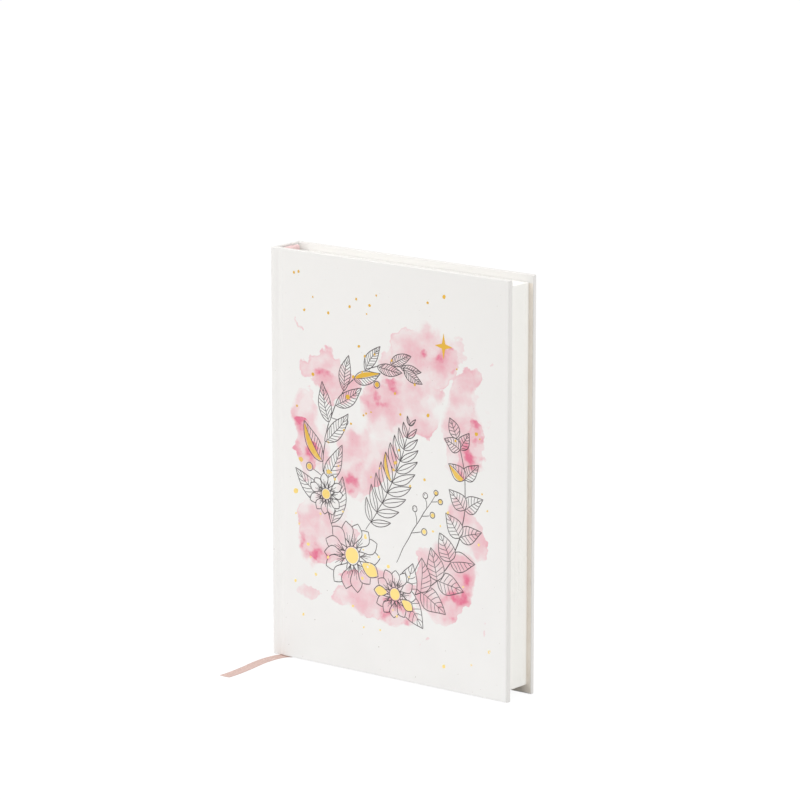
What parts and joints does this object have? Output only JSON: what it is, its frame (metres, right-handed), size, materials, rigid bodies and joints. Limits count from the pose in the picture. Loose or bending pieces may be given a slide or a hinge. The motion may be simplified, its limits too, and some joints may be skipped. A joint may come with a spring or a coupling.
{
  "type": "dot grid journal",
  "caption": "Upright case-bound A5 notebook with hinged board covers, sewn sections that fan open, spine bands and a flat ribbon marker.",
  "frame": {"origin": "on the surface that the journal stands on, under the middle of the closed book", "axes": "+X from the spine to the fore-edge, +Y from the front cover to the back cover, +Z from the tail to the head"},
  "size_m": [0.1528, 0.072, 0.2165],
  "materials": {
    "grey_board": "rough grey board",
    "cover_paper": "matt off-white paper with fine flecks",
    "endpaper": "uncoated cream paper",
    "pages": "uncoated paper with a grid of dots",
    "linen_thread": "waxed thread",
    "gauze": "open weave",
    "kraft_paper": "ribbed kraft",
    "pink_cotton": "wound cotton",
    "pink_satin": "satin ribbon"
  },
  "bodies": {
    "text_block": {"section_04": "pages", "section_05": "pages", "section_06": "pages", "section_07": "pages", "section_08": "pages", "section_09": "pages", "sewing_thread_1": "linen_thread", "sewing_thread_2": "linen_thread", "sewing_thread_3": "linen_thread", "sewing_thread_4": "linen_thread", "sewing_thread_5": "linen_thread", "spine_gauze": "gauze", "spine_lining": "kraft_paper", "headband": "pink_cotton", "tailband": "pink_cotton", "spine_board": "grey_board", "spine_cover_paper": "cover_paper", "front_joint_paper": "cover_paper", "back_joint_paper": "cover_paper", "front_endpaper_fold": "endpaper", "back_endpaper_fold": "endpaper", "ribbon_marker": "pink_satin", "ribbon_tail": "pink_satin"},
    "front_cover": {"front_board": "grey_board", "front_cover_paper": "cover_paper", "front_pastedown": "endpaper"},
    "back_cover": {"back_board": "grey_board", "back_cover_paper": "cover_paper", "back_pastedown": "endpaper"},
    "front_endleaf": {"front_flyleaf": "endpaper"},
    "back_endleaf": {"back_flyleaf": "endpaper"},
    "leaves_01": {"section_01": "pages"},
    "leaves_02": {"section_02": "pages"},
    "leaves_03": {"section_03": "pages"},
    "leaves_10": {"section_10": "pages"},
    "leaves_11": {"section_11": "pages"},
    "leaves_12": {"section_12": "pages"}
  },
  "joints": [
    {"name": "front_cover_hinge", "type": "hinge", "parent": "text_block", "child": "front_cover", "pos_m": [-0.07335, -0.01076, 0.1085], "axis": [0, 0, -1], "range_deg": [0, 180], "deforming": ["front_joint_paper", "front_endpaper_fold"]},
    {"name": "back_cover_hinge", "type": "hinge", "parent": "text_block", "child": "back_cover", "pos_m": [-0.07335, 0.01076, 0.1085], "axis": [0, 0, 1], "range_deg": [0, 180], "deforming": ["back_joint_paper", "back_endpaper_fold"]},
    {"name": "front_flyleaf_turn", "type": "hinge", "parent": "text_block", "child": "front_endleaf", "pos_m": [-0.07335, -0.01076, 0.1085], "axis": [0, 0, -1], "range_deg": [0, 174.6]},
    {"name": "section_01_turn", "type": "hinge", "parent": "text_block", "child": "leaves_01", "pos_m": [-0.07335, -0.01076, 0.1085], "axis": [0, 0, -1], "range_deg": [0, 154.8]},
    {"name": "section_02_turn", "type": "hinge", "parent": "text_block", "child": "leaves_02", "pos_m": [-0.07335, -0.01076, 0.1085], "axis": [0, 0, -1], "range_deg": [0, 126]},
    {"name": "section_03_turn", "type": "hinge", "parent": "text_block", "child": "leaves_03", "pos_m": [-0.07335, -0.01076, 0.1085], "axis": [0, 0, -1], "range_deg": [0, 90]},
    {"name": "back_flyleaf_turn", "type": "hinge", "parent": "text_block", "child": "back_endleaf", "pos_m": [-0.07335, 0.01076, 0.1085], "axis": [0, 0, 1], "range_deg": [0, 174.6]},
    {"name": "section_12_turn", "type": "hinge", "parent": "text_block", "child": "leaves_12", "pos_m": [-0.07335, 0.01076, 0.1085], "axis": [0, 0, 1], "range_deg": [0, 154.8]},
    {"name": "section_11_turn", "type": "hinge", "parent": "text_block", "child": "leaves_11", "pos_m": [-0.07335, 0.01076, 0.1085], "axis": [0, 0, 1], "range_deg": [0, 126]},
    {"name": "section_10_turn", "type": "hinge", "parent": "text_block", "child": "leaves_10", "pos_m": [-0.07335, 0.01076, 0.1085], "axis": [0, 0, 1], "range_deg": [0, 90]}
  ],
  "couplings": [
    {"joint": "front_flyleaf_turn", "follows": "front_cover_hinge", "ratio": 0.97},
    {"joint": "section_01_turn", "follows": "front_cover_hinge", "ratio": 0.86},
    {"joint": "section_02_turn", "follows": "front_cover_hinge", "ratio": 0.7},
    {"joint": "section_03_turn", "follows": "front_cover_hinge", "ratio": 0.5},
    {"joint": "back_flyleaf_turn", "follows": "back_cover_hinge", "ratio": 0.97},
    {"joint": "section_12_turn", "follows": "back_cover_hinge", "ratio": 0.86},
    {"joint": "section_11_turn", "follows": "back_cover_hinge", "ratio": 0.7},
    {"joint": "section_10_turn", "follows": "back_cover_hinge", "ratio": 0.5}
  ]
}
